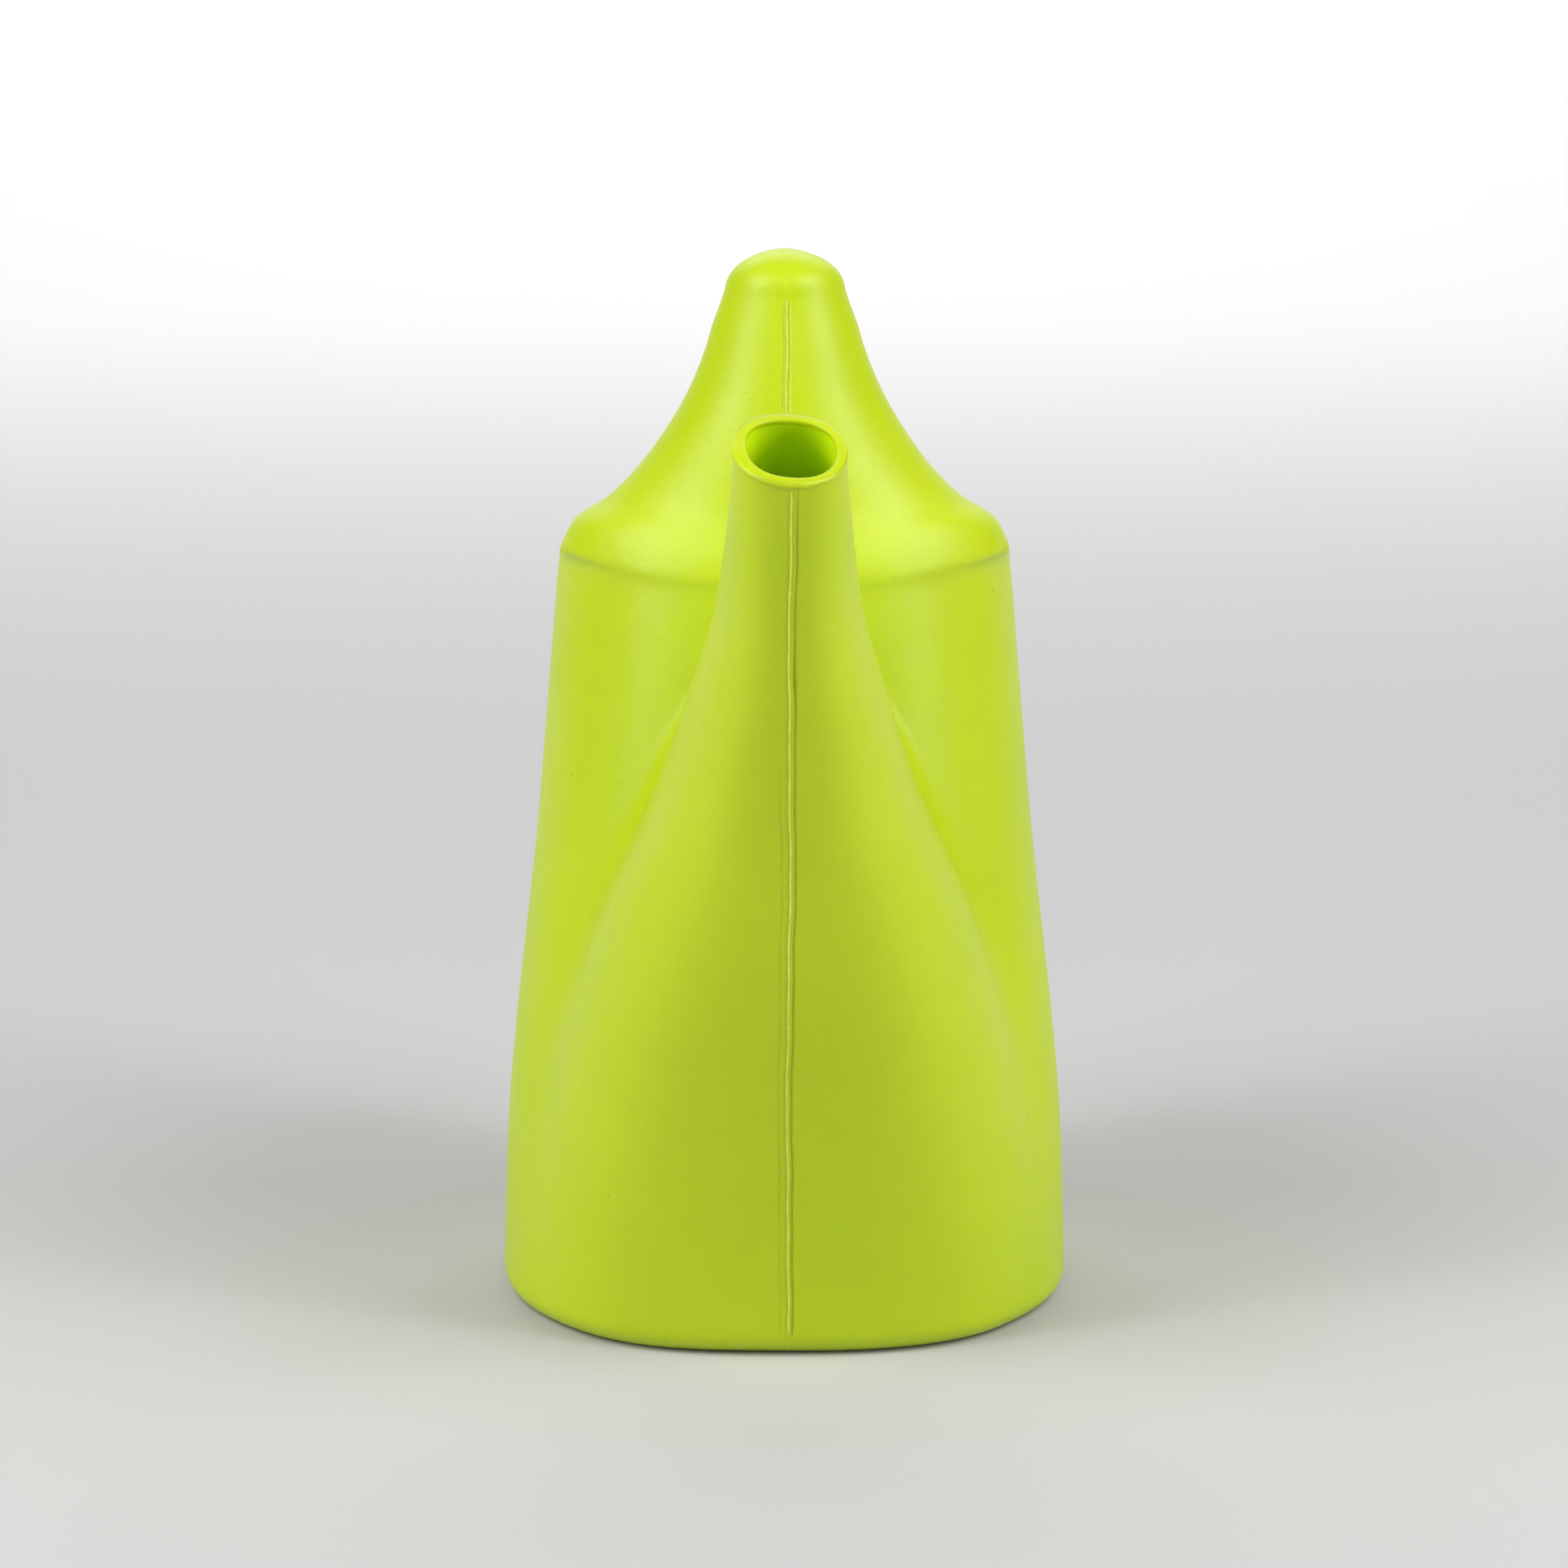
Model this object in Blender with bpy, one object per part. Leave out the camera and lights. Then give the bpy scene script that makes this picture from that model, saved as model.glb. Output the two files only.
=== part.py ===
"""A small blow-moulded watering can, cut along its mould parting plane into its real zones.

Metres, +Z up.  The spout points to -Y, the handle to +Y, and X runs across the can.
The origin lies under the middle of the can's bounding box, on the plane it stands on.
Every height is measured from the ground, and every depth from the middle of the tank.
"""

import math

import bmesh
import bpy
from mathutils import Vector

# Walls and clearances
WALL = 0.0022
SEAM_GAP = 0.0003
FLOOR_THICKNESS = 0.0024

# Where the zones part, measured from the change of form beside each
DECK_DROP = 0.0013
FORK_RISE = 0.0017
MOIL_HEIGHT = 0.0300

# Tank
TANK_HEIGHT = 0.1800
BASE_WIDTH = 0.1308
WAIST_WIDTH = BASE_WIDTH - 0.0178
SHOULDER_WIDTH = BASE_WIDTH - 0.0290
TANK_DRAFT = 0.0012
TANK_DRAFT_AT = 0.20
WAIST_AT = 0.62
TOP_ROUNDER_BY = 0.25
BASE_BACK_DEPTH = 0.0640
TOP_BACK_DEPTH = 0.0560
BASE_FRONT_DEPTH = 0.0600
TOP_FRONT_DEPTH = 0.0540
SHOULDER_RADIUS = 0.0110
FOOTPRINT_POWER = 2.65
HEEL_RADIUS = 0.0045
BASE_PAN_HEIGHT = 0.0312
FOOT_RING_WIDTH = 0.0085
FOOT_RECESS = 0.0020

# Spout
SPOUT_FOOT_DEPTH = 0.0700
MOUTH_WIDTH = 0.0232
MOUTH_DEPTH = MOUTH_WIDTH + 0.0038
MOUTH_HEIGHT = TANK_HEIGHT + 0.0327
MOUTH_REACH = 0.1380
MOUTH_TILT = math.radians(27)
MOUTH_SLANT = 0.0022
SPOUT_FORK_HEIGHT = TANK_HEIGHT - 0.0260
SPOUT_ROUNDER_BY = 0.35
SPOUT_HOLLOW = 0.0024
LIP_HEIGHT = 0.0030
LIP_PROUD = 0.0005
WELD_WIDTH = 0.0012
WELD_PROUD = 0.0004
HOOD_WELD_START = 0.0040
HOOD_WELD_STOP = 0.0010

# Spout outline as (share of the mouth's height, offset): below the fork the offset is measured
# inwards from the side of the base, and above it outwards from the side of the mouth
SPOUT_DRAW_IN = ((0.0, 0.0035), (0.12, 0.0050), (0.30, 0.0130), (0.46, 0.0240))
SPOUT_FLARE = ((0.60, 0.0175), (0.72, 0.0096), (0.82, 0.0040), (0.92, 0.0014), (1.0, 0.0), (1.2, -0.0006))
ABOVE_MOUTH = 1.2

# Handle
HANDLE_WIDTH = 0.0260
HANDLE_THICKNESS = 0.0200
HANDLE_REACH = 0.1080
HANDLE_FOOT_HEIGHT = 0.51111 * TANK_HEIGHT
HANDLE_MIDDLE_HEIGHT = TANK_HEIGHT - 0.0320
HANDLE_TOP_DROP = 0.0008
HANDLE_ROUNDNESS = 2.2
HANDLE_BURIED = 0.0060
BRIDGE_RUN_IN = 0.0340
FOOT_RUN = 0.0300

# Hood
HOOD_HEIGHT = 0.0615
HOOD_SKIRT_WIDTH = SHOULDER_WIDTH - 0.0088
HOOD_NECK_WIDTH = HANDLE_WIDTH + 0.0004
HOOD_SET_FORWARD = 0.0220
HOOD_SKIRT_DEPTH = 0.0270
HOOD_NECK_DEPTH = 0.0130
HOOD_DOME_HEIGHT = 0.0085
HOOD_ROOT = 0.0075
HOOD_BACK_INSET = 0.0060
HOOD_ROUNDNESS = 2.1

# Hood outline as (share of its height, share of the flare from neck to skirt)
HOOD_FLARE = ((0.0, 1.0), (0.12, 0.78), (0.32, 0.50), (0.60, 0.235), (1.0, 0.0))
BELOW_HOOD = -0.15

# Filler opening
FILLER_WIDTH = 0.0560
FILLER_DEPTH = 0.0330
FILLER_SET_BACK = 0.0260
FILLER_COLLAR = 0.0050
FILLER_ROUNDNESS = 2.2

# Smoothness of the faceted model
RING_POINTS = 36
HANDLE_POINTS = 16
HANDLE_STEPS = 20
ROUNDING_STEPS = 5
DOME_SWEEP = math.radians(85.7)
ABOVE_HEEL = 0.0160

# Cutting blocks reach well past the can
FAR = 0.5
OVERRUN = 0.0010

GREEN = (0.52, 0.66, 0.035, 1.0)
PALE_GREEN = (0.60, 0.72, 0.07, 1.0)


def curve_value(points, at):
    """The height at `at` of a smooth curve through `points`, without overshoot."""
    xs = [point[0] for point in points]
    ys = [point[1] for point in points]
    if at <= xs[0]:
        return ys[0]
    if at >= xs[-1]:
        return ys[-1]
    slopes = [(ys[i + 1] - ys[i]) / (xs[i + 1] - xs[i]) for i in range(len(xs) - 1)]
    bends = [slopes[0]]
    for before, after in zip(slopes, slopes[1:]):
        same_way = before * after > 0
        bends.append(2 * before * after / (before + after) if same_way else 0.0)
    bends.append(slopes[-1])
    i = max(index for index in range(len(xs) - 1) if xs[index] <= at)
    span = xs[i + 1] - xs[i]
    t = (at - xs[i]) / span
    start = (1 + 2 * t) * (1 - t) ** 2 * ys[i] + t * (1 - t) ** 2 * span * bends[i]
    end = t * t * (3 - 2 * t) * ys[i + 1] + t * t * (t - 1) * span * bends[i + 1]
    return start + end


class Section:
    """One level cut through a hollow form: a superellipse with its own front and back depths."""

    def __init__(self, z, width, middle, front, back, power):
        self.z = z
        self.width = width
        self.middle = middle
        self.front = front
        self.back = back
        self.power = power

    def grown(self, by, front_lean=0.0, back_lean=0.0):
        """The cut through the surface that lies `by` outside this one (inside if negative)."""
        return Section(
            self.z,
            self.width + by,
            self.middle,
            self.front + by * math.hypot(1, front_lean),
            self.back + by * math.hypot(1, back_lean),
            self.power,
        )

    def point(self, angle):
        across = math.cos(angle)
        along = math.sin(angle)
        reach = 2 / self.power
        depth = self.back if along > 0 else self.front
        x = math.copysign(abs(across) ** reach, across) * self.width
        y = self.middle + math.copysign(abs(along) ** reach, along) * depth
        return Vector((x, y, self.z))


# ---------------------------------------------------------------- forms of the can

def heel_inset(z, floor):
    """How far the rounded bottom edge draws a cut at height z inwards."""
    rise = z - floor
    if rise >= HEEL_RADIUS:
        return 0.0
    return HEEL_RADIUS - math.sqrt(max(0.0, HEEL_RADIUS ** 2 - (HEEL_RADIUS - rise) ** 2))


def tank_section(z):
    share = z / TANK_HEIGHT
    half_width = curve_value(
        ((0.0, BASE_WIDTH / 2), (TANK_DRAFT_AT, BASE_WIDTH / 2 - TANK_DRAFT),
         (WAIST_AT, WAIST_WIDTH / 2), (1.0, SHOULDER_WIDTH / 2)), share)
    front = curve_value(((0.0, BASE_FRONT_DEPTH), (1.0, TOP_FRONT_DEPTH)), share)
    back = curve_value(((0.0, BASE_BACK_DEPTH), (1.0, TOP_BACK_DEPTH)), share)
    power = FOOTPRINT_POWER - TOP_ROUNDER_BY * min(share, 1.0)
    return Section(z, half_width, 0.0, front, back, power)


def spout_front(z):
    """Depth of the spout's front line, which leans forward from the foot to the mouth."""
    lip_front = MOUTH_REACH + MOUTH_DEPTH / 2
    halfway = (SPOUT_FOOT_DEPTH + lip_front) / 2 - SPOUT_HOLLOW
    return curve_value(
        ((0.0, SPOUT_FOOT_DEPTH), (0.5, halfway), (1.0, lip_front),
         (ABOVE_MOUTH, lip_front + 0.016)), z / MOUTH_HEIGHT)


def spout_back(z):
    """Depth of the spout's rear line: inside the tank below the fork, free above it."""
    lip_back = MOUTH_REACH - MOUTH_DEPTH / 2 - MOUTH_SLANT
    fork = SPOUT_FORK_HEIGHT
    return curve_value(
        ((0.0, -0.0300), (fork - 0.040, 0.0100), (fork, TOP_FRONT_DEPTH),
         (MOUTH_HEIGHT, lip_back), (MOUTH_HEIGHT * ABOVE_MOUTH, lip_back + 0.030)), z)


def spout_section(z):
    """The funnel-like cut that starts as wide as the base and shrinks to the mouth."""
    outline = [(share, BASE_WIDTH / 2 - inset) for share, inset in SPOUT_DRAW_IN]
    outline += [(share, MOUTH_WIDTH / 2 + flare) for share, flare in SPOUT_FLARE]
    half_width = curve_value(outline, z / MOUTH_HEIGHT)
    middle = curve_value(
        ((0.0, 0.0), (BASE_PAN_HEIGHT, 0.0030), (0.5 * SPOUT_FORK_HEIGHT, 0.0300),
         (SPOUT_FORK_HEIGHT, 0.0850), (MOUTH_HEIGHT, MOUTH_REACH),
         (MOUTH_HEIGHT * ABOVE_MOUTH, MOUTH_REACH + 0.022)), z)
    power = FOOTPRINT_POWER - SPOUT_ROUNDER_BY * min(z / MOUTH_HEIGHT, 1.0)
    return Section(z, half_width, -middle, spout_front(z) - middle, middle - spout_back(z), power)


def footprint(inset):
    """The ground outline of tank and spout together, drawn in by `inset`."""
    tank = tank_section(0.0)
    return Section(0.0, tank.width, 0.0, spout_front(0.0), tank.back, FOOTPRINT_POWER).grown(-inset)


def hood_section(z):
    """The bell over the front of the tank, which narrows into the handle."""
    share = (z - TANK_HEIGHT) / (HOOD_HEIGHT - HOOD_DOME_HEIGHT)
    neck = HOOD_NECK_WIDTH / 2
    flare = HOOD_SKIRT_WIDTH / 2 - neck
    outline = [(BELOW_HOOD, neck + flare + 0.0030)]
    outline += [(level, neck + flare * part) for level, part in HOOD_FLARE]
    half_width = curve_value(outline, share)
    front = curve_value(
        ((BELOW_HOOD, HOOD_SKIRT_DEPTH + 0.001), (0.0, HOOD_SKIRT_DEPTH), (1.0, HOOD_NECK_DEPTH)), share)
    back = curve_value(
        ((BELOW_HOOD, HOOD_SKIRT_DEPTH - 0.002), (0.0, HOOD_SKIRT_DEPTH - HOOD_BACK_INSET),
         (0.4, HOOD_NECK_DEPTH + 0.002), (1.0, HOOD_NECK_DEPTH)), share)
    return Section(z, half_width, -HOOD_SET_FORWARD, front, back, HOOD_ROUNDNESS)


def lean(depth_at, z, step=0.002):
    """Slope of a depth line against the vertical at height z."""
    return (depth_at(z + step) - depth_at(z - step)) / (2 * step)


# ---------------------------------------------------------------- mesh building

def link(name, bm):
    bmesh.ops.recalc_face_normals(bm, faces=bm.faces)
    mesh = bpy.data.meshes.new(name)
    bm.to_mesh(mesh)
    bm.free()
    obj = bpy.data.objects.new(name, mesh)
    bpy.context.scene.collection.objects.link(obj)
    obj.parent = can_frame
    return obj


def loft(name, sections, points=RING_POINTS):
    """A closed solid through level cuts, with a fan over its first and last cut."""
    bm = bmesh.new()
    rings = []
    for section in sections:
        ring = [bm.verts.new(section.point(2 * math.pi * (i + 0.5) / points)) for i in range(points)]
        rings.append(ring)
    for lower, upper in zip(rings, rings[1:]):
        for i in range(points):
            j = (i + 1) % points
            bm.faces.new((lower[i], lower[j], upper[j], upper[i]))
    bm.faces.new(list(reversed(rings[0])))
    bm.faces.new(rings[-1])
    return link(name, bm)


def box(name, low, high):
    bm = bmesh.new()
    bmesh.ops.create_cube(bm, size=1.0)
    for vert in bm.verts:
        for axis in range(3):
            vert.co[axis] = low[axis] if vert.co[axis] < 0 else high[axis]
    return link(name, bm)


def steps(low, high, count):
    return [low + (high - low) * i / count for i in range(count + 1)]


def round_steps(low, radius, count):
    """Heights that follow a quarter circle up from `low`."""
    return [low + radius * (1 - math.cos(math.pi / 2 * i / count)) for i in range(count + 1)]


def hide(obj):
    obj.hide_render = True
    obj.display_type = "WIRE"
    return obj


def boolean(obj, operation, cutter):
    modifier = obj.modifiers.new(operation.title(), "BOOLEAN")
    modifier.operation = operation
    modifier.solver = "EXACT"
    modifier.object = cutter


def plastic(name, color):
    """Satin polyethylene, coloured right through."""
    material = bpy.data.materials.new(name)
    material.use_nodes = True
    shader = material.node_tree.nodes["Principled BSDF"]
    shader.inputs["Base Color"].default_value = color
    shader.inputs["Roughness"].default_value = 0.42
    shader.inputs["Metallic"].default_value = 0.0
    return material


def finish(obj, color=GREEN):
    obj.data.materials.clear()
    obj.data.materials.append(plastic(obj.name, color))
    obj.data.shade_smooth()
    obj.data.set_sharp_from_angle(angle=math.radians(35))


def halves(form, name, cutters):
    """The form as its two mould halves, each keeping half the seam gap to the parting plane."""
    for side, half_space in (("left", left_space), ("right", right_space)):
        part = link_copy(form, f"{name}_{side}")
        for operation, cutter in cutters:
            boolean(part, operation, cutter)
        boolean(part, "INTERSECT", half_space)
        finish(part)


def link_copy(form, name):
    part = bpy.data.objects.new(name, form.data.copy())
    bpy.context.scene.collection.objects.link(part)
    part.parent = can_frame
    return part


def slab(name, low_z, high_z):
    return hide(box(name, (-FAR, -FAR, low_z), (FAR, FAR, high_z)))


# ---------------------------------------------------------------- the can's forms as solids

def tank_solid(name, by, floor):
    """The tank's outer form grown by `by`, closed at the floor and under its shoulder."""
    heights = round_steps(floor, HEEL_RADIUS, 3)
    heights += steps(floor + ABOVE_HEEL, TANK_HEIGHT - SHOULDER_RADIUS, 6)
    sections = [tank_section(z).grown(by - heel_inset(z, floor)) for z in heights]
    top = tank_section(TANK_HEIGHT - SHOULDER_RADIUS)
    for i in range(1, ROUNDING_STEPS + 1):
        angle = math.pi / 2 * i / ROUNDING_STEPS
        ring = top.grown(by - (SHOULDER_RADIUS + min(by, 0)) * (1 - math.cos(angle)))
        ring.z = top.z + (SHOULDER_RADIUS + by) * math.sin(angle)
        sections.append(ring)
    return loft(name, sections)


def spout_solid(name, by, floor, top):
    heights = round_steps(floor, HEEL_RADIUS, 3) + steps(floor + ABOVE_HEEL, top, 14)
    sections = []
    for z in heights:
        section = spout_section(z).grown(by - heel_inset(z, floor), lean(spout_front, z), lean(spout_back, z))
        sections.append(section)
    return loft(name, sections)


def hood_solid(name, by, bottom):
    neck = TANK_HEIGHT + HOOD_HEIGHT - HOOD_DOME_HEIGHT
    sections = [hood_section(z).grown(by) for z in steps(bottom, neck, 9)]
    brow = sections[-1]
    for i in range(1, ROUNDING_STEPS + 1):
        angle = DOME_SWEEP * i / ROUNDING_STEPS
        shrink = math.cos(angle)
        z = neck + (HOOD_DOME_HEIGHT + by) * math.sin(angle)
        sections.append(Section(z, brow.width * shrink, brow.middle,
                                brow.front * shrink, brow.back * shrink, brow.power))
    return loft(name, sections)


def oval_arc(centre, reach, rise, power=HANDLE_ROUNDNESS, count=40):
    """Points of a squarish quarter oval, from straight above its centre to straight behind it."""
    points = []
    for i in range(count + 1):
        angle = math.pi / 2 * i / count
        y = centre[0] + reach * math.sin(angle) ** (2 / power)
        z = centre[1] + rise * math.cos(angle) ** (2 / power)
        points.append(Vector((0.0, y, z)))
    return points


def handle_stations():
    """Evenly spread stations along the handle's middle line, from the hood to the tank's back."""
    top = TANK_HEIGHT + HOOD_HEIGHT - HANDLE_THICKNESS / 2 - HANDLE_TOP_DROP
    outer = HANDLE_REACH - HANDLE_THICKNESS / 2
    entry = TOP_BACK_DEPTH - HANDLE_BURIED
    middle = HANDLE_MIDDLE_HEIGHT
    upper = oval_arc((-HOOD_SET_FORWARD, middle), outer + HOOD_SET_FORWARD, top - middle)
    lower = oval_arc((entry, middle), outer - entry, HANDLE_FOOT_HEIGHT - middle)
    line = upper + list(reversed(lower))[1:]
    lengths = [0.0]
    for first, second in zip(line, line[1:]):
        lengths.append(lengths[-1] + (second - first).length)
    stations = []
    for step in range(HANDLE_STEPS + 1):
        target = lengths[-1] * step / HANDLE_STEPS
        i = max(index for index in range(len(line) - 1) if lengths[index] <= target + 1e-9)
        t = (target - lengths[i]) / (lengths[i + 1] - lengths[i])
        stations.append(line[i].lerp(line[i + 1], t))
    return stations


def handle_solid(name, by, overrun=0.0):
    """The handle as one closed oval tube grown by `by`, both ends run on by `overrun`."""
    stations = handle_stations()
    stations[0] = stations[0] - (stations[1] - stations[0]).normalized() * overrun
    stations[-1] = stations[-1] + (stations[-1] - stations[-2]).normalized() * overrun
    bm = bmesh.new()
    rings = []
    for i, middle in enumerate(stations):
        ahead = stations[min(i + 1, len(stations) - 1)] - stations[max(i - 1, 0)]
        up = Vector((0.0, -ahead.z, ahead.y)).normalized()
        half_width = HANDLE_WIDTH / 2 + by
        half_depth = HANDLE_THICKNESS / 2 + by
        ring = []
        for k in range(HANDLE_POINTS):
            angle = 2 * math.pi * (k + 0.5) / HANDLE_POINTS
            side = Vector((half_width * math.cos(angle), 0.0, 0.0))
            ring.append(bm.verts.new(middle + side + up * half_depth * math.sin(angle)))
        rings.append(ring)
    for lower, upper in zip(rings, rings[1:]):
        for k in range(HANDLE_POINTS):
            j = (k + 1) % HANDLE_POINTS
            bm.faces.new((lower[k], lower[j], upper[j], upper[k]))
    bm.faces.new(list(reversed(rings[0])))
    bm.faces.new(rings[-1])
    return link(name, bm)


def filler_solid(name, by, low, high):
    """An upright oval plug at the filler opening."""
    sections = []
    for z in (low, high):
        sections.append(Section(z, FILLER_WIDTH / 2 + by, FILLER_SET_BACK,
                                FILLER_DEPTH / 2 + by, FILLER_DEPTH / 2 + by, FILLER_ROUNDNESS))
    return loft(name, sections)


def mouth_box(name, near, far):
    """A block between two planes parallel to the mouth, `near` and `far` above its middle."""
    block = box(name, (-FAR, -FAR, near), (FAR, FAR, far))
    block.location = (0.0, -MOUTH_REACH, MOUTH_HEIGHT)
    block.rotation_euler = (MOUTH_TILT, 0.0, 0.0)
    return hide(block)


def weld_strip(name, front_at, low, high, half_width, out, back, count):
    """A square-edged strip that follows a front line up the parting plane."""
    bm = bmesh.new()
    rings = []
    for z in steps(low, high, count):
        front = front_at(z)
        corners = ((-half_width, -front - out), (half_width, -front - out),
                   (half_width, -front + back), (-half_width, -front + back))
        rings.append([bm.verts.new((x, y, z)) for x, y in corners])
    for lower, upper in zip(rings, rings[1:]):
        for k in range(4):
            j = (k + 1) % 4
            bm.faces.new((lower[k], lower[j], upper[j], upper[k]))
    bm.faces.new(list(reversed(rings[0])))
    bm.faces.new(rings[-1])
    return link(name, bm)


# ---------------------------------------------------------------- build

for old in list(bpy.data.objects):
    bpy.data.objects.remove(old, do_unlink=True)

can_frame = bpy.data.objects.new("can_frame", None)
bpy.context.scene.collection.objects.link(can_frame)

inner_floor = FOOT_RECESS + FLOOR_THICKNESS
deck_line = TANK_HEIGHT - SHOULDER_RADIUS - DECK_DROP
fork_line = SPOUT_FORK_HEIGHT + FORK_RISE
spout_top = MOUTH_HEIGHT + MOIL_HEIGHT
hood_top = TANK_HEIGHT + HOOD_HEIGHT

left_space = hide(box("left_space", (-FAR, -FAR, -FAR), (-SEAM_GAP / 2, FAR, FAR)))
right_space = hide(box("right_space", (SEAM_GAP / 2, -FAR, -FAR), (FAR, FAR, FAR)))

tank_outer = hide(tank_solid("tank_outer", 0.0, 0.0))
tank_clear = hide(tank_solid("tank_clear", SEAM_GAP, 0.0))
tank_inner = hide(tank_solid("tank_inner", -WALL, inner_floor))
spout_outer = hide(spout_solid("spout_outer", 0.0, 0.0, spout_top))
spout_inner = hide(spout_solid("spout_inner", -WALL, inner_floor, spout_top + 4 * OVERRUN))
hood_outer = hide(hood_solid("hood_outer", 0.0, TANK_HEIGHT - HOOD_ROOT))
hood_clear = hide(hood_solid("hood_clear", SEAM_GAP, TANK_HEIGHT - HOOD_ROOT))
hood_inner = hide(hood_solid("hood_inner", -WALL, TANK_HEIGHT - HOOD_ROOT - OVERRUN / 2))
handle_outer = hide(handle_solid("handle_outer", 0.0))
handle_inner = hide(handle_solid("handle_inner", -WALL, OVERRUN))
weld_channel = hide(weld_strip("weld_channel", spout_front, -10 * OVERRUN, spout_top,
                               WELD_WIDTH / 2 + SEAM_GAP, 4 * OVERRUN, 2 * WALL, 22))


def hood_front(z):
    return HOOD_SET_FORWARD + hood_section(z).front


hood_weld_low = TANK_HEIGHT + HOOD_WELD_START
hood_weld_high = hood_top - HOOD_DOME_HEIGHT - HOOD_WELD_STOP
hood_channel = hide(weld_strip("hood_weld_channel", hood_front, hood_weld_low - SEAM_GAP,
                               hood_weld_high + SEAM_GAP, WELD_WIDTH / 2 + SEAM_GAP,
                               4 * OVERRUN, 2 * WALL, 22))

# Base pan
recess_sections = []
for z in (-10 * OVERRUN, FOOT_RECESS):
    outline = footprint(HEEL_RADIUS + FOOT_RING_WIDTH)
    outline.z = z
    recess_sections.append(outline)
foot_recess = hide(loft("foot_recess", recess_sections))
base_zone = slab("base_zone", -FAR, BASE_PAN_HEIGHT)
halves(tank_outer, "base_pan", [
    ("UNION", spout_outer), ("INTERSECT", base_zone), ("DIFFERENCE", tank_inner),
    ("DIFFERENCE", spout_inner), ("DIFFERENCE", foot_recess), ("DIFFERENCE", weld_channel)])

# Tank walls
wall_zone = slab("wall_zone", BASE_PAN_HEIGHT + SEAM_GAP, deck_line)
halves(tank_outer, "tank_wall", [
    ("DIFFERENCE", tank_inner), ("INTERSECT", wall_zone),
    ("DIFFERENCE", spout_inner), ("DIFFERENCE", handle_inner)])

# Shoulder and top deck, open under the hood and at the filler
filler_low = TANK_HEIGHT - SHOULDER_RADIUS
filler_high = TANK_HEIGHT + 2 * FILLER_COLLAR
filler_hole = hide(filler_solid("filler_hole", WALL + SEAM_GAP, filler_low, filler_high))
shoulder_zone = slab("shoulder_zone", deck_line + SEAM_GAP, FAR)
halves(tank_outer, "shoulder", [
    ("DIFFERENCE", tank_inner), ("INTERSECT", shoulder_zone),
    ("DIFFERENCE", hood_inner), ("DIFFERENCE", filler_hole)])

# Spout root, below the fork
root_zone = slab("root_zone", BASE_PAN_HEIGHT + SEAM_GAP, fork_line)
halves(spout_outer, "spout_root", [
    ("DIFFERENCE", spout_inner), ("DIFFERENCE", tank_clear),
    ("INTERSECT", root_zone), ("DIFFERENCE", weld_channel)])

# Spout tube, from the fork to the lip
tube_zone = slab("tube_zone", fork_line + SEAM_GAP, FAR)
above_tube = mouth_box("above_tube", -LIP_HEIGHT - SEAM_GAP, FAR)
halves(spout_outer, "spout_tube", [
    ("DIFFERENCE", spout_inner), ("DIFFERENCE", tank_clear), ("INTERSECT", tube_zone),
    ("DIFFERENCE", above_tube), ("DIFFERENCE", weld_channel)])

# Trimmed lip of the spout
spout_lip = spout_solid("spout_lip", LIP_PROUD, 0.0, spout_top)
lip_zone = mouth_box("lip_zone", -LIP_HEIGHT, 0.0)
boolean(spout_lip, "INTERSECT", lip_zone)
boolean(spout_lip, "DIFFERENCE", spout_inner)
finish(spout_lip, PALE_GREEN)

# Front weld of the two mould halves
weld = weld_strip("front_weld", spout_front, HEEL_RADIUS, spout_top,
                  WELD_WIDTH / 2, WELD_PROUD, WALL, 16)
above_weld = mouth_box("above_weld", -LIP_HEIGHT - SEAM_GAP, FAR)
boolean(weld, "DIFFERENCE", above_weld)
finish(weld, PALE_GREEN)

# Hood
halves(hood_outer, "hood", [
    ("DIFFERENCE", hood_inner), ("DIFFERENCE", tank_clear),
    ("DIFFERENCE", handle_inner), ("DIFFERENCE", hood_channel)])
hood_weld = weld_strip("hood_weld", hood_front, hood_weld_low, hood_weld_high,
                       WELD_WIDTH / 2, WELD_PROUD, WALL, 10)
finish(hood_weld, PALE_GREEN)

# Filler collar
filler_collar = filler_solid("filler_collar", WALL, TANK_HEIGHT - WALL, TANK_HEIGHT + FILLER_COLLAR)
filler_bore = hide(filler_solid("filler_bore", 0.0, filler_low, filler_high))
boolean(filler_collar, "DIFFERENCE", filler_bore)
finish(filler_collar, PALE_GREEN)

# Handle, in three runs
bridge_end = HANDLE_REACH - BRIDGE_RUN_IN
grip_end = HANDLE_FOOT_HEIGHT + FOOT_RUN
bridge_zone = hide(box("bridge_zone", (-FAR, -FAR, grip_end), (FAR, bridge_end, FAR)))
grip_zone = hide(box("grip_zone", (-FAR, bridge_end + SEAM_GAP, grip_end + SEAM_GAP), (FAR, FAR, FAR)))
foot_zone = hide(box("foot_zone", (-FAR, 0.0, -FAR), (FAR, FAR, grip_end)))
for run, zone, neighbours in (("bridge", bridge_zone, [hood_clear]),
                              ("grip", grip_zone, []),
                              ("foot", foot_zone, [tank_clear])):
    clearances = [("DIFFERENCE", neighbour) for neighbour in neighbours]
    halves(handle_outer, f"handle_{run}",
           [("DIFFERENCE", handle_inner), ("INTERSECT", zone)] + clearances)

# Centre the can over the origin
lip_front_y = -MOUTH_REACH - math.cos(MOUTH_TILT) * MOUTH_DEPTH / 2
can_frame.location.y = -(HANDLE_REACH + lip_front_y) / 2
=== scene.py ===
"""Finished surfaces, material, light and camera of a blow-moulded plastic watering can.

The moulding is one continuous skin.  It is worked out as a distance field that joins tank,
spout, hood, handle and filler collar with fillets, and is then turned into an outer and an
inner surface one wall apart, trimmed at the spout's mouth and at the filler opening.
"""
import math

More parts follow.
